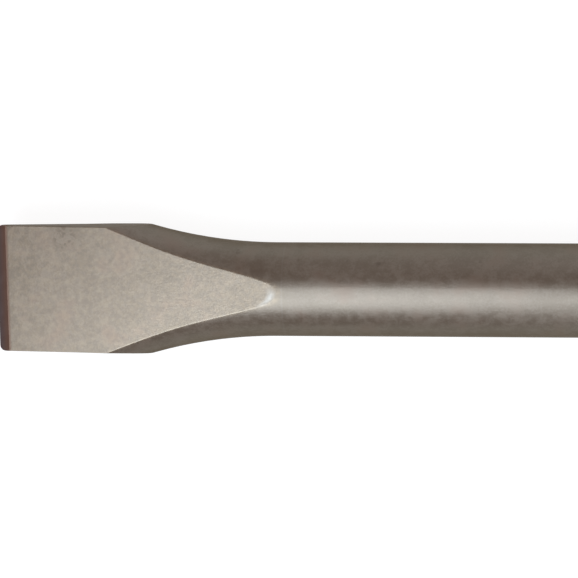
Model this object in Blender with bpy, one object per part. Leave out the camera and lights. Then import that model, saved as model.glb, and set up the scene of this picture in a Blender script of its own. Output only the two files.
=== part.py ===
"""A flat chisel for a rotary hammer, forged in one piece from round bar.

The front end of the bar is forged into a flared head with a wedge face on each side, and the rear
end is the slotted shank that the hammer's chuck locks and drives. X runs along the bar, with the
cutting edge towards -X and the middle of the striking face at the origin. Y is the blade's width,
and Z is square to the blade. A station is a distance along the bar from the cutting edge.
All sizes are in metres.
"""

import math

import bmesh
import bpy

# The bar.
OVERALL_LENGTH = 0.280
BAR_DIAMETER = 0.018

# The head, with its lengths measured from the cutting edge.
HEAD_LENGTH = 0.0545
SHOULDER_LENGTH = 0.030
BLADE_WIDTH = 0.0242
SHOULDER_SPLAY = 0.0003
SPLAY_LENGTH = 0.0135
FORGING_DRAFT = math.radians(3.3)
FACE_RUNOUT = 0.0013

# The ground cutting edge.
BLADE_END_THICKNESS = 0.0025
BEVEL_LENGTH = 0.0019
EDGE_LAND = 0.0004
CORNER_RADIUS = 0.0011

# The shank, with its lengths measured from the striking face.
REAR_CHAMFER = 0.0015
LOCK_GROOVE_START = 0.026
LOCK_GROOVE_LENGTH = 0.032
LOCK_GROOVE_RADIUS = 0.0035
LOCK_GROOVE_DEPTH = 0.0027
DRIVE_SLOT_LENGTH = 0.052
DRIVE_SLOT_DEPTH = 0.0025
WIDE_SLOT_WIDTH = 0.0055
NARROW_SLOT_WIDTH = 0.0038
NARROW_SLOT_ANGLE = math.radians(42)
SLOT_MILL_RADIUS = 0.015
CUTTER_OVERRUN = 0.002

# How finely the round surfaces are stepped.
FLANK_STEPS = 7
TIP_STEPS = 14
SHOULDER_STEPS = 8
CORNER_STEPS = 4
CUTTER_STEPS = 8
SHARP_ANGLE = math.radians(20)
WELD_DISTANCE = 1e-7

BAR_RADIUS = BAR_DIAMETER / 2
FACE_LENGTH = HEAD_LENGTH + FACE_RUNOUT
SPLAY_START = SHOULDER_LENGTH - SPLAY_LENGTH
SHOULDER_HALF_WIDTH = BLADE_WIDTH / 2 + SHOULDER_SPLAY
# The bar's facets are spread so that one lies flat along its top and one along its bottom.
FACET_ANGLE = math.pi / 2 / (FLANK_STEPS + 0.5)
CREST_ANGLE = math.pi / 2 - FACET_ANGLE / 2


def clear_scene():
    for item in list(bpy.data.objects):
        bpy.data.objects.remove(item, do_unlink=True)


def arc_radius(run, rise):
    """Radius of the arc that leaves a line smoothly and stands off it by rise after run."""
    return (run ** 2 + rise ** 2) / (2 * rise)


def arc_rise(radius, run):
    """How far such an arc has left its line after run."""
    return radius - math.sqrt(radius ** 2 - run ** 2)


def flank_half_width(station):
    """The forged flank swells from the bar on one arc, and past the shoulder it keeps its slope."""
    if station >= HEAD_LENGTH:
        return BAR_RADIUS
    flare_run = HEAD_LENGTH - SHOULDER_LENGTH
    radius = arc_radius(flare_run, SHOULDER_HALF_WIDTH - BAR_RADIUS)
    if station >= SHOULDER_LENGTH:
        return BAR_RADIUS + arc_rise(radius, HEAD_LENGTH - station)
    slope = flare_run / math.sqrt(radius ** 2 - flare_run ** 2)
    return SHOULDER_HALF_WIDTH + slope * (SHOULDER_LENGTH - station)


def flank_half_height(station):
    """The forged flank thins towards the edge by the draft of the forging die."""
    return BAR_RADIUS - math.tan(FORGING_DRAFT) * max(HEAD_LENGTH - station, 0)


def face_half_height(station):
    """Half the thickness between the two wedge faces, or between the bevels ahead of them."""
    end = BLADE_END_THICKNESS / 2
    if station <= BEVEL_LENGTH:
        land = EDGE_LAND / 2
        return land + (end - land) * station / BEVEL_LENGTH
    crest = BAR_RADIUS * math.sin(CREST_ANGLE)
    return end + (crest - end) * (station - BEVEL_LENGTH) / (FACE_LENGTH - BEVEL_LENGTH)


def side_half_width(station):
    """The trimmed sides: round corners, a parallel run, then an arc out to the shoulder."""
    half_width = BLADE_WIDTH / 2
    if station < CORNER_RADIUS:
        return half_width - arc_rise(CORNER_RADIUS, CORNER_RADIUS - station)
    splay_run = station - SPLAY_START
    if splay_run <= 0:
        return half_width
    return half_width + arc_rise(arc_radius(SPLAY_LENGTH, SHOULDER_SPLAY), splay_run)


def face_edge_angle(station):
    """Where the wedge face cuts the flank, as an angle round the flank's ellipse."""
    if station >= FACE_LENGTH:
        return CREST_ANGLE
    return math.asin(face_half_height(station) / flank_half_height(station))


def side_edge_angle(station):
    """Where the trimmed side cuts the flank, as an angle round the flank's ellipse."""
    if station >= SHOULDER_LENGTH:
        return 0.0
    return math.acos(side_half_width(station) / flank_half_width(station))


def meeting_station():
    """The station where the face's edge runs into the side and the flank ends."""
    near, far = BEVEL_LENGTH, SHOULDER_LENGTH
    while far - near > WELD_DISTANCE:
        middle = (near + far) / 2
        if face_edge_angle(middle) < side_edge_angle(middle):
            near = middle
        else:
            far = middle
    return far


def closing_in(start, end, steps):
    """Stations from start to end that crowd towards end, where the outline turns fastest."""
    return [end - (end - start) * (1 - step / steps) ** 2 for step in range(1, steps + 1)]


def head_stations(meeting):
    quarter_turn = math.pi / 2
    corner = [
        CORNER_RADIUS * (1 - math.cos(quarter_turn * step / CORNER_STEPS))
        for step in range(CORNER_STEPS + 1)
    ]
    blade = [BEVEL_LENGTH, min(SPLAY_START, meeting), meeting]
    shoulder = closing_in(meeting, SHOULDER_LENGTH, SHOULDER_STEPS)
    tip = closing_in(SHOULDER_LENGTH, FACE_LENGTH, TIP_STEPS)
    return corner + blade + shoulder + tip


def flank_quarter(station, meeting):
    """Upper right quarter of a section as (y, z), from the face's edge down to the side's edge."""
    if station <= meeting:
        corner = (side_half_width(station), face_half_height(station))
        return [corner] * (FLANK_STEPS + 1)
    half_width = flank_half_width(station)
    half_height = flank_half_height(station)
    top = face_edge_angle(station)
    bottom = side_edge_angle(station)
    quarter = []
    for step in range(FLANK_STEPS + 1):
        angle = top + (bottom - top) * step / FLANK_STEPS
        quarter.append((half_width * math.cos(angle), half_height * math.sin(angle)))
    return quarter


def full_section(quarter):
    """The whole section from its upper right quarter, in order round the bar."""
    right = quarter + [(y, -z) for y, z in reversed(quarter)]
    left = [(-y, -z) for y, z in quarter] + [(-y, z) for y, z in reversed(quarter)]
    return right + left


def skin(name, rings):
    """A closed mesh over rings of (x, y, z) points, with points that coincide welded."""
    mesh = bpy.data.meshes.new(name)
    shape = bmesh.new()
    rows = [[shape.verts.new(point) for point in ring] for ring in rings]
    for front, back in zip(rows, rows[1:]):
        for index, vertex in enumerate(front):
            before = index - 1
            shape.faces.new((front[before], vertex, back[index], back[before]))
    bmesh.ops.remove_doubles(shape, verts=shape.verts, dist=WELD_DISTANCE)
    rims = [edge for edge in shape.edges if edge.is_boundary]
    if rims:
        bmesh.ops.holes_fill(shape, edges=rims)
    bmesh.ops.recalc_face_normals(shape, faces=shape.faces)
    shape.to_mesh(mesh)
    shape.free()
    return mesh


def steel_material():
    """Grit-blasted forged steel, warm grey and half matt."""
    material = bpy.data.materials.new("forged steel")
    material.use_nodes = True
    finish = material.node_tree.nodes["Principled BSDF"]
    finish.inputs["Base Color"].default_value = (0.31, 0.27, 0.23, 1)
    finish.inputs["Metallic"].default_value = 1.0
    finish.inputs["Roughness"].default_value = 0.45
    return material


def make_blank():
    """The forged head and the plain bar behind it, with the chamfered striking end."""
    meeting = meeting_station()
    sections = [
        (station, full_section(flank_quarter(station, meeting)))
        for station in head_stations(meeting)
    ]
    bar = sections[-1][1]
    shrink = (BAR_RADIUS - REAR_CHAMFER) / BAR_RADIUS
    sections.append((OVERALL_LENGTH - REAR_CHAMFER, bar))
    sections.append((OVERALL_LENGTH, [(y * shrink, z * shrink) for y, z in bar]))
    rings = [
        [(station - OVERALL_LENGTH, y, z) for y, z in section] for station, section in sections
    ]
    mesh = skin("chisel", rings)
    mesh.shade_smooth()
    mesh.set_sharp_from_angle(angle=SHARP_ANGLE)
    mesh.materials.append(steel_material())
    chisel = bpy.data.objects.new("chisel", mesh)
    bpy.context.collection.objects.link(chisel)
    return chisel


def add_cutter(name, mesh, turn):
    """A cutter in the scene, turned about the bar's axis."""
    cutter = bpy.data.objects.new(name, mesh)
    cutter.rotation_euler.x = turn
    cutter.hide_render = True
    cutter.display_type = "WIRE"
    bpy.context.collection.objects.link(cutter)
    return cutter


def lock_groove_cutter(name, turn):
    """A round-ended bar that sinks the closed groove which the chuck's locking bar drops into."""
    radius = LOCK_GROOVE_RADIUS
    height = BAR_RADIUS + radius - LOCK_GROOVE_DEPTH
    half_run = LOCK_GROOVE_LENGTH / 2 - radius
    middle = -(LOCK_GROOVE_START + LOCK_GROOVE_LENGTH / 2)
    rings = []
    for end in (-1, 1):
        for step in range(CUTTER_STEPS + 1):
            angle = math.pi / 2 * (step / CUTTER_STEPS if end > 0 else 1 - step / CUTTER_STEPS)
            x = middle + end * (half_run + radius * math.sin(angle))
            reach = radius * math.cos(angle)
            ring = []
            for side in range(4 * CUTTER_STEPS):
                around = math.pi / 2 * (side + 0.5) / CUTTER_STEPS
                y = reach * math.cos(around)
                z = height + reach * math.sin(around)
                ring.append((x, y, z))
            rings.append(ring)
    return add_cutter(name, skin(name, rings), turn)


def drive_slot_cutter(name, width, turn):
    """A slot open at the striking end, whose far end rises on the arc of the milling disc."""
    floor = BAR_RADIUS - DRIVE_SLOT_DEPTH
    radius = SLOT_MILL_RADIUS
    rise = DRIVE_SLOT_DEPTH + CUTTER_OVERRUN
    runout = math.sqrt(radius ** 2 - (radius - DRIVE_SLOT_DEPTH) ** 2)
    arc_start = runout - DRIVE_SLOT_LENGTH
    sweep = math.acos(1 - rise / radius)
    outline = [(CUTTER_OVERRUN, floor + rise), (CUTTER_OVERRUN, floor)]
    for step in range(CUTTER_STEPS + 1):
        angle = sweep * step / CUTTER_STEPS
        x = arc_start - radius * math.sin(angle)
        outline.append((x, floor + radius * (1 - math.cos(angle))))
    rings = [[(x, side * width / 2, z) for x, z in outline] for side in (-1, 1)]
    return add_cutter(name, skin(name, rings), turn)


def cut(body, cutter):
    groove = body.modifiers.new(cutter.name, "BOOLEAN")
    groove.operation = "DIFFERENCE"
    groove.solver = "EXACT"
    groove.object = cutter


def cut_shank(chisel):
    """Two closed locking grooves face each other, with three open drive slots between them."""
    quarter_turn = math.pi / 2
    for name, turn in (("lock groove left", quarter_turn), ("lock groove right", -quarter_turn)):
        cut(chisel, lock_groove_cutter(name, turn))
    cut(chisel, drive_slot_cutter("wide drive slot", WIDE_SLOT_WIDTH, 0))
    for name, lean in (("narrow slot left", -1), ("narrow slot right", 1)):
        turn = math.pi + lean * NARROW_SLOT_ANGLE
        cut(chisel, drive_slot_cutter(name, NARROW_SLOT_WIDTH, turn))


clear_scene()
cut_shank(make_blank())
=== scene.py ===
"""A flat chisel for a rotary hammer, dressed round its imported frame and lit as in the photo.

The bar lies along X with the cutting edge towards -X, Y is the blade's width and Z is up.
A station is a distance along the bar from the cutting edge. Sizes are in metres.
"""

import math

import bmesh
import bpy
from mathutils import Matrix, Vector


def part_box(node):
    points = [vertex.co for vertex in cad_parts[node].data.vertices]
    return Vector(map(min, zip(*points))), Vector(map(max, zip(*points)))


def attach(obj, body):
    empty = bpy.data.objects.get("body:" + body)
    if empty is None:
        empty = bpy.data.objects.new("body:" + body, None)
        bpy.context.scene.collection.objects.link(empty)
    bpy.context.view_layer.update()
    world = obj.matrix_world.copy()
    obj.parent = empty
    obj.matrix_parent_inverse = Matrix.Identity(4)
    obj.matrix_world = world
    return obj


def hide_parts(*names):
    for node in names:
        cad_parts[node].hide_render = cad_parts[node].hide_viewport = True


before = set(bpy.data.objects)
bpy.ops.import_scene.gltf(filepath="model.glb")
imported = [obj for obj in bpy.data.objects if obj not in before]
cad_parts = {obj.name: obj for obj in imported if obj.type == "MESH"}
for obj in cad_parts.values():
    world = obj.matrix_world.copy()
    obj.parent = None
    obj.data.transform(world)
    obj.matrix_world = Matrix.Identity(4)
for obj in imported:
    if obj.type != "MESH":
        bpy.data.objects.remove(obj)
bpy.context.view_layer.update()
LOW_CORNER, HIGH_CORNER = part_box("chisel")
EDGE_X = LOW_CORNER.x
LENGTH = HIGH_CORNER.x - LOW_CORNER.x

# The bar and the forged head.
BAR_RADIUS = 0.009
HEAD_LENGTH = 0.0545
SHOULDER_LENGTH = 0.0302
BLADE_HALF_WIDTH = 0.01215
SHOULDER_SPLAY = 0.0003
SPLAY_LENGTH = 0.0135
FORGING_DRAFT = math.radians(3.3)
TONGUE_TIP = 0.0555

# The ground cutting edge, a little out of square with the bar.
BLADE_END_HALF = 0.00125
BEVEL_LENGTH = 0.0019
EDGE_LAND_HALF = 0.0002
CORNER_RADIUS = 0.0011
GRINDING_STOCK = 0.0008
GRIND_SKEW = math.radians(1.0)

# The shank, with its lengths measured from the striking face.
REAR_CHAMFER = 0.0015
LOCK_GROOVE_START = 0.026
LOCK_GROOVE_LENGTH = 0.032
LOCK_GROOVE_RADIUS = 0.0035
LOCK_GROOVE_DEPTH = 0.0027
DRIVE_SLOT_LENGTH = 0.052
DRIVE_SLOT_DEPTH = 0.0025
WIDE_SLOT_WIDTH = 0.0055
NARROW_SLOT_WIDTH = 0.0038
NARROW_SLOT_ANGLE = math.radians(42)
SLOT_MILL_RADIUS = 0.015

# Rounding that the blasting leaves on the edges.
FORGED_ROUNDING = 0.00015
RIM_ROUNDING = 0.0002
ROUNDING_STEPS = 3

# How finely the piece is stepped, and how near a point counts as in its place.
SIDE_LINES = [math.radians(angle) for angle in range(0, 37, 6)]
FACE_LINES = [math.radians(angle) for angle in range(39, 85, 3)] + [math.pi / 2]
CORNER_STEPS = 6
GROOVE_STEPS = 16
STATION_NEAR = 1e-9
NEAR = 2e-6
CUT_NEAR = 4 * NEAR

# How near in tilt a face counts as part of a wedge face, and up to what bend faces look smooth.
FLAT_NEAR = math.radians(0.2)
SMOOTH_ANGLE = math.radians(17)

# The steel's colours with that of its painted highlights, how much paler blasting and painted
# light make its wedge faces, and its tint where seen edge-on.
STEEL_PALE = (0.174, 0.1542, 0.1285, 1)
STEEL_DULL = (0.1486, 0.1307, 0.1072, 1)
STEEL_WARM = (0.1677, 0.1368, 0.1113, 1)
STEEL_PIT = (0.1042, 0.088, 0.072, 1)
GROUND_BROWN = (0.176, 0.1190, 0.0980, 1)
GROUND_SLATE = (0.130, 0.1120, 0.1200, 1)
GROUND_FRINGE = (0.128, 0.0800, 0.0600, 1)
PAINTED_HIGHLIGHT_COLOUR = (0.2266, 0.2152, 0.1923, 1)
FACE_BLAST_AND_PAINTED_LIGHT_GAIN = (1.25, 1.21, 1.14, 1)
STEEL_EDGE_TINT = (0.48, 0.44, 0.40, 1)

# The patterns, each as its size and its detail.
PATCHES = (0.006, 3.0)
MOTTLE = (0.0016, 4.0)
GRAIN = (0.0004, 3.0)
PITS = (0.0035, 6.0)
SPECKLE = (0.0009, 3.0)
SCRATCHES = (0.0009, 3.0)

# How much each pattern adds to the steel's unevenness.
MOTTLE_SHARE = 0.45
PATCH_SHARE = 0.35
GRAIN_SHARE = 0.3

# Where in a pattern a colour sets in and is full, and how much of it there is.
PALE_SPREAD = (0.45, 0.65)
WARM_SPREAD = (0.52, 0.72)
WARM_SHARE = 0.6
PIT_SPREAD = (0.66, 0.76)
PIT_SHARE = 0.6
SPECKLE_SPREAD = (0.35, 0.65)
SPECKLE_LEAST = 0.4
SCRATCH_SPREAD = (0.44, 0.62)
SCRATCH_SHARE = 0.6

# How deep below a wedge face's plane its paler blasting and painted light have faded out.
FACE_FADE = 0.00028

# The polished rim beside the tongue's tip with a painted highlight where the lamps reflect, and
# the ring where the head begins, painted as a highlight.
RIM_START = 0.050
RIM_FULL = 0.053
RIM_INSET = 0.00017
RIM_DEPTH = 0.00018
RIM_PLACE = -0.0009
RIM_HALF_WIDTH = 0.0025
RIM_POLISH = 0.10
RING_STATION = 0.0564
RING_HALF_WIDTH = 0.0003
RING_SHARE = 0.15

# The scuffs near the blade's long edge, and the core where they are strongest.
SCUFF_PLACE = Vector((EDGE_X + 0.0134, 0.0101, 0.0033))
SCUFF_RADIUS = 0.0036
SCUFF_CORE = SCUFF_RADIUS / 3

# Where the ground colour is full and gone, from the end of the bevels, and its fringe there.
GROUND_FULL = -0.0001
GROUND_GONE = 0.0002
FRINGE_WIDTH = 0.0007
FRINGE_SHARE = 0.9

# How matt the steel is, and its grain.
ROUGHNESS_SPREAD = (0.3, 0.7)
ROUGHNESS = (0.38, 0.46)
GRAIN_STRENGTH = 0.32
GRAIN_DEPTH = 0.00005

# The mix node's sockets for colours, by their number.
FIRST_COLOUR = 6
SECOND_COLOUR = 7
MIXED_COLOUR = 2

# The floor under the head: its grey in bounced light, and how white it is seen.
FLOOR_COLOUR = (0.12, 0.12, 0.12, 1)
FLOOR_GLOW = 0.91
FLOOR_SIZE = 6
FLOOR_STATION = 0.06

# The photo's view, fitted to its outlines. The target is the middle of the picture.
CAMERA_DISTANCE = 1.2
CAMERA_PITCH = math.radians(8)
CAMERA_ROLL = math.radians(5.8)
CAMERA_TILT = math.radians(0.52)
CAMERA_SENSOR = 36
CAMERA_RANGE = (0.05, 20)
FRAME_WIDTH = 0.11092
TARGET = Vector((EDGE_X + 0.05663, 0.00002, 0))

# Each softbox's place from the target, its turn, width, height and power.
SOFTBOXES = {
    "front softbox": (Vector((-0.100, -0.082, 0.16)), 0.0, 0.070, 0.150, 0.155),
    "middle softbox": (Vector((-0.023, -0.0555, 0.16)), math.radians(-28), 0.130, 0.165, 0.278),
    "rear softbox": (Vector((0.105, -0.100, 0.11)), 0.0, 0.100, 0.200, 0.166),
    "far softbox": (Vector((0.45, 0.60, 0.25)), 0.0, 0.9, 0.5, 1.57),
}
LAMP_COLOUR = (0.90, 1.015, 1.14)
WORLD_COLOUR = (0.51, 0.385, 0.335, 1)


def arc_radius(run, rise):
    """Radius of the arc that leaves a line smoothly and stands off it by rise after run."""
    return (run ** 2 + rise ** 2) / (2 * rise)


def arc_rise(radius, run):
    """How far such an arc has left its line after run."""
    return radius - math.sqrt(radius ** 2 - run ** 2)


def flank_half_width(station):
    """The forged flank swells from the bar on one arc, and past the shoulder keeps its slope."""
    if station >= HEAD_LENGTH:
        return BAR_RADIUS
    run = HEAD_LENGTH - SHOULDER_LENGTH
    shoulder = BLADE_HALF_WIDTH + SHOULDER_SPLAY
    radius = arc_radius(run, shoulder - BAR_RADIUS)
    if station >= SHOULDER_LENGTH:
        return BAR_RADIUS + arc_rise(radius, HEAD_LENGTH - station)
    slope = run / math.sqrt(radius ** 2 - run ** 2)
    return shoulder + slope * (SHOULDER_LENGTH - station)


def flank_half_height(station):
    """The flank thins towards the edge by the draft of the forging die."""
    return BAR_RADIUS - math.tan(FORGING_DRAFT) * max(HEAD_LENGTH - station, 0)


def face_half_height(station):
    """Half the thickness between the two wedge faces."""
    rise = BAR_RADIUS - BLADE_END_HALF
    return BLADE_END_HALF + rise * (station - BEVEL_LENGTH) / (TONGUE_TIP - BEVEL_LENGTH)


def side_half_width(station):
    """The trimmed sides: a parallel run, then an arc out to the shoulder."""
    run = station - (SHOULDER_LENGTH - SPLAY_LENGTH)
    if run <= 0:
        return BLADE_HALF_WIDTH
    return BLADE_HALF_WIDTH + arc_rise(arc_radius(SPLAY_LENGTH, SHOULDER_SPLAY), run)


def face_angle(station):
    """Where the wedge face cuts the flank, as an angle round the flank's ellipse."""
    return math.asin(min(face_half_height(station) / flank_half_height(station), 1))


def side_angle(station):
    """Where the trimmed side cuts the flank, as an angle round the flank's ellipse."""
    return math.acos(min(side_half_width(station) / flank_half_width(station), 1))


def where(test, near, far):
    """The station between near and far where test turns from true to false."""
    while far - near > STATION_NEAR:
        middle = (near + far) / 2
        if test(middle):
            near = middle
        else:
            far = middle
    return far


MEETING = where(lambda s: face_angle(s) < side_angle(s), BEVEL_LENGTH, SHOULDER_LENGTH)


def tongue_stations():
    """From the tongue's tip to the shoulder, each where a long line of the flank meets the cut."""
    start = face_angle(SHOULDER_LENGTH)
    stations = [
        where(lambda s: face_angle(s) < line, SHOULDER_LENGTH, TONGUE_TIP)
        for line in reversed(FACE_LINES[:-1])
        if line > start
    ]
    return stations + [SHOULDER_LENGTH]


def shoulder_stations():
    """From the shoulder to where face and side meet, each where a long line meets the side."""
    stations = [
        where(lambda s: side_angle(s) > line, MEETING, SHOULDER_LENGTH)
        for line in SIDE_LINES[1:-1]
    ]
    return stations + [MEETING]


def let_go_of_all():
    if bpy.context.mode != "OBJECT":
        bpy.ops.object.mode_set(mode="OBJECT")
    bpy.ops.object.select_all(action="DESELECT")


def take_up(piece):
    """Selects one piece alone."""
    let_go_of_all()
    piece.select_set(True)
    bpy.context.view_layer.objects.active = piece


def open_piece(piece):
    take_up(piece)
    bpy.ops.object.mode_set(mode="EDIT")


def close_piece():
    bpy.ops.object.mode_set(mode="OBJECT")


def name_piece(name):
    """Settles the piece just added where it stands, and names it."""
    bpy.ops.object.transform_apply(location=True, rotation=True, scale=True)
    piece = bpy.context.object
    piece.name = name
    return piece


def pick_points(piece, wanted):
    """Selects the points of the open piece whose place is wanted."""
    bpy.ops.mesh.select_mode(type="VERT")
    bpy.ops.mesh.select_all(action="DESELECT")
    shape = bmesh.from_edit_mesh(piece.data)
    for vertex in shape.verts:
        vertex.select = wanted(vertex.co)
    shape.select_flush(True)
    bmesh.update_edit_mesh(piece.data)


def pick_edges(piece, wanted):
    """Selects the edges of the open piece whose two ends are wanted."""
    bpy.ops.mesh.select_mode(type="EDGE")
    bpy.ops.mesh.select_all(action="DESELECT")
    shape = bmesh.from_edit_mesh(piece.data)
    for edge in shape.edges:
        edge.select_set(bool(wanted(edge.verts[0].co, edge.verts[1].co)))
    bmesh.update_edit_mesh(piece.data)


def pick_faces(piece, wanted):
    """Selects the faces of the open piece whose middle and normal are wanted."""
    bpy.ops.mesh.select_mode(type="FACE")
    bpy.ops.mesh.select_all(action="DESELECT")
    shape = bmesh.from_edit_mesh(piece.data)
    for face in shape.faces:
        face.select_set(bool(wanted(face.calc_center_median(), face.normal)))
    bmesh.update_edit_mesh(piece.data)


def at_station(place, station):
    return abs(place.x - EDGE_X - station) < NEAR


def is_line(place, y, z):
    """Whether a point is one of the four that mirror (y, z) round the bar."""
    return abs(abs(place.y) - y) < NEAR and abs(abs(place.z) - z) < NEAR


def roll_bar():
    """A round bar from the tongue's tip to the chamfer, with its long lines turned to place."""
    lines = SIDE_LINES + FACE_LINES
    quarter = len(lines) - 1
    depth = LENGTH - TONGUE_TIP - REAR_CHAMFER
    let_go_of_all()
    bpy.ops.mesh.primitive_cylinder_add(
        vertices=4 * quarter,
        radius=BAR_RADIUS,
        depth=depth,
        end_fill_type="NGON",
        location=(EDGE_X + TONGUE_TIP + depth / 2, 0, 0),
        rotation=(0, math.pi / 2, 0),
    )
    chisel = name_piece("fine_chisel")
    open_piece(chisel)
    for number in range(1, quarter):
        even = math.pi / 2 * number / quarter
        y = BAR_RADIUS * math.cos(even)
        z = BAR_RADIUS * math.sin(even)
        for hand in (1, -1):
            pick_points(chisel, lambda p: is_line(p, y, z) and p.y * p.z * hand > 0)
            bpy.ops.transform.rotate(
                value=-hand * (lines[number] - even), orient_axis="X", center_override=(0, 0, 0)
            )
    close_piece()
    return chisel


def draw_out(chisel, near, far, widen, thicken):
    """Extrudes an end to the next station and scales it about the bar's axis."""
    pick_points(chisel, lambda p: at_station(p, near))
    bpy.ops.mesh.extrude_region_move(TRANSFORM_OT_translate={"value": (far - near, 0, 0)})
    bpy.ops.transform.resize(value=(1, widen, thicken), center_override=(EDGE_X + far, 0, 0))


def press_flat(chisel, station):
    """Presses what stands above the wedge faces or beyond the trimmed sides onto them."""
    height = face_half_height(station)
    width = side_half_width(station)
    x = EDGE_X + station
    for side in (1, -1):
        pick_points(chisel, lambda p: at_station(p, station) and p.z * side > height)
        bpy.ops.transform.resize(value=(1, 1, 0), center_override=(x, 0, side * height))
    if station > SHOULDER_LENGTH - NEAR:
        return
    for side in (1, -1):
        pick_points(chisel, lambda p: at_station(p, station) and p.y * side > width)
        bpy.ops.transform.resize(value=(1, 0, 1), center_override=(x, side * width, 0))


def move_line_to_cut(chisel, station, angle):
    """Moves the long line nearest to a cut onto it, on all four quarters of the ring."""
    cut_y = flank_half_width(station) * math.cos(angle)
    cut_z = flank_half_height(station) * math.sin(angle)
    shape = bmesh.from_edit_mesh(chisel.data)
    places = [v.co for v in shape.verts if at_station(v.co, station)]
    quarter = [(p.y, p.z) for p in places if p.y > NEAR and p.z > NEAR]
    y, z = min(quarter, key=lambda p: math.hypot(p[0] - cut_y, p[1] - cut_z))
    pick_points(chisel, lambda p: at_station(p, station) and is_line(p, y, z))
    bpy.ops.transform.resize(
        value=(1, cut_y / y, cut_z / z), center_override=(EDGE_X + station, 0, 0)
    )


def forge_head(chisel):
    """The flared, thinning head, one station after another, pressed onto its flats."""
    open_piece(chisel)
    near = TONGUE_TIP
    for station in tongue_stations() + shoulder_stations():
        widen = flank_half_width(station) / flank_half_width(near)
        thicken = flank_half_height(station) / flank_half_height(near)
        draw_out(chisel, near, station, widen, thicken)
        press_flat(chisel, station)
        move_line_to_cut(chisel, station, face_angle(station))
        if station < SHOULDER_LENGTH - NEAR:
            move_line_to_cut(chisel, station, side_angle(station))
        near = station
    close_piece()


def draw_blade(chisel):
    """The flat blade from the meeting to a little past the cutting edge."""
    open_piece(chisel)
    near = MEETING
    for station in (SHOULDER_LENGTH - SPLAY_LENGTH, -GRINDING_STOCK):
        widen = side_half_width(station) / side_half_width(near)
        thicken = face_half_height(station) / face_half_height(near)
        draw_out(chisel, near, station, widen, thicken)
        near = station
    close_piece()


def on_face_cut(place):
    """Whether a point lies on the edge between a wedge face and the flank."""
    station = place.x - EDGE_X
    if not MEETING - NEAR < station < TONGUE_TIP + NEAR:
        return False
    height = face_half_height(station)
    width = flank_half_width(station) * math.cos(face_angle(station))
    return abs(abs(place.z) - height) < NEAR and abs(abs(place.y) - width) < CUT_NEAR


def on_side_cut(place):
    """Whether a point lies on the edge between a trimmed side and the flank."""
    station = place.x - EDGE_X
    if not MEETING - NEAR < station < SHOULDER_LENGTH + NEAR:
        return False
    width = side_half_width(station)
    height = flank_half_height(station) * math.sin(side_angle(station))
    return abs(abs(place.y) - width) < NEAR and abs(abs(place.z) - height) < CUT_NEAR


def on_blade_corner(place):
    """Whether a point lies on the long edge between a wedge face and a trimmed side."""
    station = place.x - EDGE_X
    if not CORNER_RADIUS < station < MEETING + NEAR:
        return False
    height = face_half_height(station)
    width = side_half_width(station)
    return abs(abs(place.y) - width) < NEAR and abs(abs(place.z) - height) < NEAR


def along_cuts(start, end):
    """Whether an edge runs along the tongue, the shoulder or the blade's long corners."""
    if abs(start.x - end.x) < NEAR:
        return False
    if min(start.y * end.y, start.z * end.z) < -NEAR ** 2:
        return False
    tests = (on_face_cut, on_side_cut, on_blade_corner)
    return any(test(start) and test(end) for test in tests)


def crease_cuts(chisel):
    """Joins the points of both cuts across the faces that they run through."""
    open_piece(chisel)
    for test in (on_face_cut, on_side_cut):
        for side_y in (1, -1):
            for side_z in (1, -1):
                pick_points(
                    chisel,
                    lambda p: test(p) and p.y * side_y > -NEAR and p.z * side_z > -NEAR,
                )
                bpy.ops.mesh.vert_connect()
    close_piece()


def true_up_faces(chisel):
    """Makes each wedge face one flat face."""
    slope = math.atan2(BAR_RADIUS - BLADE_END_HALF, TONGUE_TIP - BEVEL_LENGTH)
    open_piece(chisel)
    for side in (1, -1):
        square = Vector((-math.sin(slope), 0, side * math.cos(slope)))
        pick_faces(
            chisel, lambda c, n: c.x < EDGE_X + TONGUE_TIP and n.angle(square) < FLAT_NEAR
        )
        bpy.ops.mesh.dissolve_faces()
    close_piece()


def slice_off(place, square):
    """Cuts the open piece by a plane, and closes it where what lies outside came off."""
    bpy.ops.mesh.select_all(action="SELECT")
    bpy.ops.mesh.bisect(
        plane_co=place, plane_no=square, use_fill=True, clear_outer=True, threshold=NEAR
    )


def is_end_corner(start, end):
    """Whether an edge is one of the two where the trimmed sides end at the cutting edge."""
    front = EDGE_X + CORNER_RADIUS
    if max(start.x, end.x) >= front or start.y * end.y <= 0:
        return False
    return min(abs(start.y), abs(end.y)) > BLADE_HALF_WIDTH - NEAR


def grind_edge(chisel):
    """The cutting edge: cut square, its corners rounded, then both bevels ground."""
    skew = Matrix.Rotation(GRIND_SKEW, 3, "Z")
    open_piece(chisel)
    slice_off((EDGE_X, 0, 0), skew @ Vector((-1, 0, 0)))
    pick_edges(chisel, is_end_corner)
    bpy.ops.mesh.bevel(
        offset=CORNER_RADIUS, segments=CORNER_STEPS, affect="EDGES", clamp_overlap=False
    )
    rise = math.atan2(BLADE_END_HALF - EDGE_LAND_HALF, BEVEL_LENGTH)
    for side in (1, -1):
        square = skew @ Vector((-math.sin(rise), 0, side * math.cos(rise)))
        slice_off((EDGE_X, 0, side * EDGE_LAND_HALF), square)
    close_piece()


def soften(chisel, wanted, rounding):
    """Rounds the edges that are wanted, on the open piece."""
    pick_edges(chisel, wanted)
    bpy.ops.mesh.bevel(
        offset=rounding,
        offset_type="OFFSET",
        segments=ROUNDING_STEPS,
        profile=0.5,
        affect="EDGES",
        clamp_overlap=True,
    )


def soften_cuts(chisel):
    open_piece(chisel)
    soften(chisel, along_cuts, FORGED_ROUNDING)
    close_piece()


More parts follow.
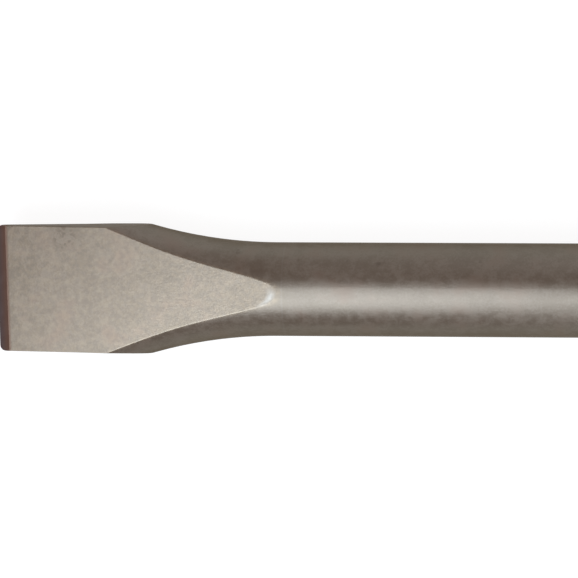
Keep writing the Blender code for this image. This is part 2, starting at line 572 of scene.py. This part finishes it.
def chamfer_rear(chisel):
    """The chamfer round the striking face, with its two rims broken."""
    open_piece(chisel)
    shrink = (BAR_RADIUS - REAR_CHAMFER) / BAR_RADIUS
    draw_out(chisel, LENGTH - REAR_CHAMFER, LENGTH, shrink, shrink)
    for station in (LENGTH - REAR_CHAMFER, LENGTH):
        soften(
            chisel, lambda a, b: at_station(a, station) and at_station(b, station), RIM_ROUNDING
        )
    close_piece()


def lock_groove_wheel(name, turn):
    """The round-ended bar whose shape the closed locking groove takes."""
    radius = LOCK_GROOVE_RADIUS
    middle = HIGH_CORNER.x - LOCK_GROOVE_START - LOCK_GROOVE_LENGTH / 2
    reach = LOCK_GROOVE_LENGTH / 2 - radius
    let_go_of_all()
    bpy.ops.mesh.primitive_uv_sphere_add(
        segments=2 * GROOVE_STEPS,
        ring_count=GROOVE_STEPS,
        radius=radius,
        location=(middle, 0, BAR_RADIUS + radius - LOCK_GROOVE_DEPTH),
        rotation=(0, math.pi / 2, 0),
    )
    cutter = name_piece(name)
    open_piece(cutter)
    bpy.ops.mesh.select_all(action="SELECT")
    bpy.ops.mesh.bisect(plane_co=(middle, 0, 0), plane_no=(1, 0, 0))
    for end in (1, -1):
        pick_points(cutter, lambda p: (p.x - middle) * end > NEAR)
        bpy.ops.transform.translate(value=(end * reach, 0, 0))
    bpy.ops.mesh.select_all(action="SELECT")
    bpy.ops.transform.rotate(value=-turn, orient_axis="X", center_override=(0, 0, 0))
    close_piece()
    return cutter


def slot_mill(name, width, turn):
    """The milling disc, drawn along the bar to past the striking face."""
    radius = SLOT_MILL_RADIUS
    runout = math.sqrt(radius ** 2 - (radius - DRIVE_SLOT_DEPTH) ** 2)
    start = HIGH_CORNER.x - DRIVE_SLOT_LENGTH + runout
    let_go_of_all()
    bpy.ops.mesh.primitive_cylinder_add(
        vertices=8 * GROOVE_STEPS,
        radius=radius,
        depth=width,
        end_fill_type="NGON",
        location=(start, 0, BAR_RADIUS - DRIVE_SLOT_DEPTH + radius),
        rotation=(math.pi / 2, 0, 0),
    )
    cutter = name_piece(name)
    open_piece(cutter)
    pick_points(cutter, lambda p: p.x - start > NEAR)
    bpy.ops.transform.translate(value=(DRIVE_SLOT_LENGTH, 0, 0))
    bpy.ops.mesh.select_all(action="SELECT")
    bpy.ops.transform.rotate(value=-turn, orient_axis="X", center_override=(0, 0, 0))
    close_piece()
    return cutter


def cut_away(chisel, cutter):
    """Cuts the cutter's shape out of the chisel and puts the cutter away."""
    take_up(chisel)
    bite = chisel.modifiers.new("cut", "BOOLEAN")
    bite.operation = "DIFFERENCE"
    bite.solver = "EXACT"
    bite.object = cutter
    bpy.ops.object.modifier_apply(modifier=bite.name)
    bpy.data.objects.remove(cutter, do_unlink=True)


def cut_shank(chisel):
    """Two closed locking grooves face each other, with three open drive slots between them."""
    quarter_turn = math.pi / 2
    for turn in (quarter_turn, -quarter_turn):
        cut_away(chisel, lock_groove_wheel("lock groove", turn))
    cut_away(chisel, slot_mill("wide slot", WIDE_SLOT_WIDTH, 0))
    for lean in (1, -1):
        turn = math.pi + lean * NARROW_SLOT_ANGLE
        cut_away(chisel, slot_mill("narrow slot", NARROW_SLOT_WIDTH, turn))


def merge_doubles(chisel):
    """Merges the points that the cuts left on one another."""
    open_piece(chisel)
    bpy.ops.mesh.select_all(action="SELECT")
    bpy.ops.mesh.remove_doubles(threshold=NEAR)
    close_piece()


def smooth_chisel(chisel):
    take_up(chisel)
    bpy.ops.object.shade_smooth_by_angle(angle=SMOOTH_ANGLE)
    weigh = chisel.modifiers.new("weigh", "WEIGHTED_NORMAL")
    weigh.keep_sharp = True
    bpy.ops.object.modifier_apply(modifier=weigh.name)


def build_chisel():
    chisel = roll_bar()
    forge_head(chisel)
    draw_blade(chisel)
    crease_cuts(chisel)
    true_up_faces(chisel)
    grind_edge(chisel)
    soften_cuts(chisel)
    chamfer_rear(chisel)
    cut_shank(chisel)
    merge_doubles(chisel)
    smooth_chisel(chisel)
    return chisel


class Finish:
    """A Principled material and short ways to wire its patterns."""

    def __init__(self, name):
        self.material = bpy.data.materials.new(name)
        self.material.use_nodes = True
        self.tree = self.material.node_tree
        self.shader = self.tree.nodes["Principled BSDF"]

    def add(self, kind, **settings):
        node = self.tree.nodes.new("ShaderNode" + kind)
        for name, value in settings.items():
            setattr(node, name, value)
        return node

    def join(self, start, end):
        self.tree.links.new(start, end)

    def feed(self, socket, value):
        """Sets a socket to a number or a colour, or joins it to another node."""
        if isinstance(value, (int, float, tuple)):
            socket.default_value = value
        else:
            self.join(value, socket)

    def maths(self, operation, *values):
        node = self.add("Math", operation=operation)
        for socket, value in zip(node.inputs, values):
            self.feed(socket, value)
        return node.outputs[0]

    def noise(self, place, size, detail):
        node = self.add("TexNoise")
        self.join(place, node.inputs["Vector"])
        node.inputs["Scale"].default_value = 1 / size
        node.inputs["Detail"].default_value = detail
        return node.outputs[0]

    def fade(self, value, start, end, low=0.0, high=1.0):
        """A value brought from start and end to low and high, and held there."""
        node = self.add("MapRange", interpolation_type="SMOOTHSTEP")
        self.join(value, node.inputs["Value"])
        node.inputs["From Min"].default_value = start
        node.inputs["From Max"].default_value = end
        node.inputs["To Min"].default_value = low
        node.inputs["To Max"].default_value = high
        return node.outputs[0]

    def blend(self, share, first, second, kind="MIX"):
        node = self.add("Mix", data_type="RGBA", blend_type=kind)
        self.join(share, node.inputs["Factor"])
        self.feed(node.inputs[FIRST_COLOUR], first)
        self.feed(node.inputs[SECOND_COLOUR], second)
        return node.outputs[MIXED_COLOUR]


def forged_colour(steel, place, patches, mottle, grain):
    """Mottled grey with warmer patches and dark pits."""
    uneven = steel.maths("MULTIPLY", mottle, MOTTLE_SHARE)
    uneven = steel.maths("ADD", uneven, steel.maths("MULTIPLY", patches, PATCH_SHARE))
    uneven = steel.maths("ADD", uneven, steel.maths("MULTIPLY", grain, GRAIN_SHARE))
    colour = steel.blend(steel.fade(uneven, *PALE_SPREAD), STEEL_DULL, STEEL_PALE)
    warm = steel.fade(patches, *WARM_SPREAD, 0.0, WARM_SHARE)
    colour = steel.blend(warm, colour, STEEL_WARM)
    pitted = steel.fade(steel.noise(place, *PITS), *PIT_SPREAD, 0.0, PIT_SHARE)
    return steel.blend(pitted, colour, STEEL_PIT)


def wedge_height(steel, x):
    """How high the wedge faces stand over the bar's middle, along their whole planes."""
    slope = (BAR_RADIUS - BLADE_END_HALF) / (TONGUE_TIP - BEVEL_LENGTH)
    return steel.maths("MULTIPLY_ADD", x, slope, BAR_RADIUS - slope * (EDGE_X + TONGUE_TIP))


def pale_faces_with_painted_light(steel, colour, place, z, wedge):
    """The wedge faces are paler than the flanks in fine speckles, partly from their blasting and
    partly as painted light.
    """
    below = steel.maths("SUBTRACT", wedge, steel.maths("ABSOLUTE", z))
    on_face = steel.fade(below, 0.0, FACE_FADE, 1.0, 0.0)
    speckle = steel.fade(steel.noise(place, *SPECKLE), *SPECKLE_SPREAD, SPECKLE_LEAST, 1.0)
    return steel.blend(steel.maths("MULTIPLY", on_face, speckle), colour, FACE_BLAST_AND_PAINTED_LIGHT_GAIN, "MULTIPLY")


def polished_rim_and_painted_highlight(steel, x, y, wedge):
    """How polished the rim is where a wedge face runs out on the bar beside the tongue's tip, and
    how much painted highlight it carries, set across where the lamps reflect.
    """
    across = steel.maths("MULTIPLY", y, y)
    round_side = steel.maths("SQRT", steel.maths("SUBTRACT", BAR_RADIUS ** 2, across))
    inside = steel.maths("SUBTRACT", round_side, wedge)
    gap = steel.maths("ABSOLUTE", steel.maths("SUBTRACT", inside, RIM_INSET))
    aside = steel.maths("ABSOLUTE", steel.maths("SUBTRACT", y, RIM_PLACE))
    near_tip = steel.maths(
        "MULTIPLY",
        steel.fade(x, EDGE_X + RIM_START, EDGE_X + RIM_FULL),
        steel.fade(aside, 0.0, RIM_HALF_WIDTH, 1.0, 0.0),
    )
    return steel.maths("MULTIPLY", steel.fade(gap, 0.0, RIM_DEPTH, 1.0, 0.0), near_tip)


def painted_ring_highlight(steel, x):
    """How much painted highlight shows on the faint ring that the forging die leaves where the
    head begins.
    """
    from_ring = steel.maths("ABSOLUTE", steel.maths("SUBTRACT", x, EDGE_X + RING_STATION))
    return steel.fade(from_ring, 0.0, RING_HALF_WIDTH, RING_SHARE, 0.0)


def scuffs(steel, place):
    """How much a few dark scuffs show near the blade's long edge."""
    away = steel.add("VectorMath", operation="DISTANCE")
    steel.join(place, away.inputs[0])
    away.inputs[1].default_value = SCUFF_PLACE
    near = steel.fade(away.outputs["Value"], SCUFF_CORE, SCUFF_RADIUS, 1.0, 0.0)
    scratched = steel.fade(steel.noise(place, *SCRATCHES), *SCRATCH_SPREAD, 0.0, SCRATCH_SHARE)
    return steel.maths("MULTIPLY", scratched, near)


def ground_colour(steel, colour, x, y):
    """The ground bevels: slate at the edge, then brown, with a fringe where they end askew."""
    ahead = steel.maths("MULTIPLY_ADD", y, math.tan(GRIND_SKEW), x)
    end = EDGE_X + BEVEL_LENGTH
    fringe = steel.fade(ahead, end, end + FRINGE_WIDTH, FRINGE_SHARE, 0.0)
    colour = steel.blend(fringe, colour, GROUND_FRINGE)
    heat = steel.blend(steel.fade(ahead, EDGE_X, end), GROUND_SLATE, GROUND_BROWN)
    ground = steel.fade(ahead, end + GROUND_FULL, end + GROUND_GONE, 1.0, 0.0)
    return steel.blend(ground, colour, heat)


def blasted_steel():
    """Grit-blasted forged steel, mottled and half matt, browner on the ground bevels, with painted
    light on the wedge faces and painted highlights on the tip's rim and a ring.
    """
    steel = Finish("blasted steel")
    place = steel.add("TexCoord").outputs["Object"]
    split = steel.add("SeparateXYZ")
    steel.join(place, split.inputs[0])
    x, y, z = split.outputs["X"], split.outputs["Y"], split.outputs["Z"]
    patches = steel.noise(place, *PATCHES)
    mottle = steel.noise(place, *MOTTLE)
    grain = steel.noise(place, *GRAIN)
    wedge = wedge_height(steel, x)
    rim_polish_and_highlight = polished_rim_and_painted_highlight(steel, x, y, wedge)

    colour = forged_colour(steel, place, patches, mottle, grain)
    # The wedge faces made paler, partly as their blasting and partly as painted light.
    colour = pale_faces_with_painted_light(steel, colour, place, z, wedge)
    # A painted highlight on the rim beside the tongue's tip.
    colour = steel.blend(rim_polish_and_highlight, colour, PAINTED_HIGHLIGHT_COLOUR)
    # A painted highlight on the faint ring where the head begins.
    colour = steel.blend(painted_ring_highlight(steel, x), colour, PAINTED_HIGHLIGHT_COLOUR)
    colour = steel.blend(scuffs(steel, place), colour, STEEL_PIT)
    colour = ground_colour(steel, colour, x, y)
    steel.join(colour, steel.shader.inputs["Base Color"])

    steel.shader.inputs["Metallic"].default_value = 1.0
    steel.shader.inputs["Specular Tint"].default_value = STEEL_EDGE_TINT
    roughness = steel.fade(mottle, *ROUGHNESS_SPREAD, *ROUGHNESS)
    polish = steel.maths("MULTIPLY", rim_polish_and_highlight, RIM_POLISH)
    steel.join(steel.maths("SUBTRACT", roughness, polish), steel.shader.inputs["Roughness"])
    bump = steel.add("Bump")
    bump.inputs["Strength"].default_value = GRAIN_STRENGTH
    bump.inputs["Distance"].default_value = GRAIN_DEPTH
    steel.join(grain, bump.inputs["Height"])
    steel.join(bump.outputs[0], steel.shader.inputs["Normal"])
    return steel.material


def white_floor():
    """White to the eye and in metal, and grey enough otherwise to keep a faint shadow."""
    white = Finish("white floor")
    white.shader.inputs["Base Color"].default_value = FLOOR_COLOUR
    white.shader.inputs["Roughness"].default_value = 1.0
    white.shader.inputs["Specular IOR Level"].default_value = 0.0
    white.shader.inputs["Emission Color"].default_value = (1, 1, 1, 1)
    path = white.add("LightPath").outputs
    seen = white.maths("MAXIMUM", path["Is Camera Ray"], path["Is Glossy Ray"])
    seen = white.maths("MAXIMUM", seen, path["Is Transmission Ray"])
    glow = white.maths("MULTIPLY", seen, FLOOR_GLOW)
    white.join(glow, white.shader.inputs["Emission Strength"])
    return white.material


def lay_floor():
    let_go_of_all()
    bpy.ops.mesh.primitive_plane_add(
        size=FLOOR_SIZE, location=(EDGE_X + FLOOR_STATION, 0, LOW_CORNER.z)
    )
    floor = name_piece("floor")
    floor.data.materials.append(white_floor())


def hang_softbox(name, place, turn, width, height, power):
    """A rectangular lamp that looks down at the line through the target along the bar."""
    lamp = bpy.data.lights.new(name, "AREA")
    lamp.shape = "RECTANGLE"
    lamp.size = width
    lamp.size_y = height
    lamp.energy = power
    lamp.color = LAMP_COLOUR
    softbox = bpy.data.objects.new(name, lamp)
    bpy.context.scene.collection.objects.link(softbox)
    lean = Matrix.Rotation(-math.atan2(place.y, place.z), 4, "X")
    turned = lean @ Matrix.Rotation(turn, 4, "Z")
    softbox.matrix_world = Matrix.Translation(TARGET + place) @ turned


def light_studio():
    """Plain surroundings, three near softboxes above the blade's lower side and a far one."""
    world = bpy.data.worlds.new("studio")
    bpy.context.scene.world = world
    world.use_nodes = True
    air = world.node_tree.nodes["Background"]
    air.inputs["Color"].default_value = WORLD_COLOUR
    air.inputs["Strength"].default_value = 1.0
    for name, softbox in SOFTBOXES.items():
        hang_softbox(name, *softbox)


def place_camera():
    """Over the head, pitched along the bar, rolled about it and tilted in the picture."""
    camera = bpy.data.cameras.new("camera")
    camera.sensor_width = CAMERA_SENSOR
    camera.lens = camera.sensor_width * CAMERA_DISTANCE / FRAME_WIDTH
    camera.clip_start, camera.clip_end = CAMERA_RANGE
    eye = bpy.data.objects.new("camera", camera)
    bpy.context.scene.collection.objects.link(eye)
    right = Vector((math.cos(CAMERA_PITCH), 0, -math.sin(CAMERA_PITCH)))
    level_back = Vector((math.sin(CAMERA_PITCH), 0, math.cos(CAMERA_PITCH)))
    back = level_back * math.cos(CAMERA_ROLL) + Vector((0, math.sin(CAMERA_ROLL), 0))
    up = back.cross(right)
    turned_right = right * math.cos(CAMERA_TILT) - up * math.sin(CAMERA_TILT)
    turned_up = back.cross(turned_right)
    facing = Matrix((turned_right, turned_up, back)).transposed().to_4x4()
    eye.matrix_world = Matrix.Translation(TARGET + back * CAMERA_DISTANCE) @ facing
    bpy.context.scene.camera = eye


chisel = build_chisel()
chisel.data.materials.clear()
chisel.data.materials.append(blasted_steel())
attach(chisel, "root")
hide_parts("chisel")

lay_floor()
light_studio()
place_camera()
bpy.context.scene.view_settings.view_transform = "Standard"
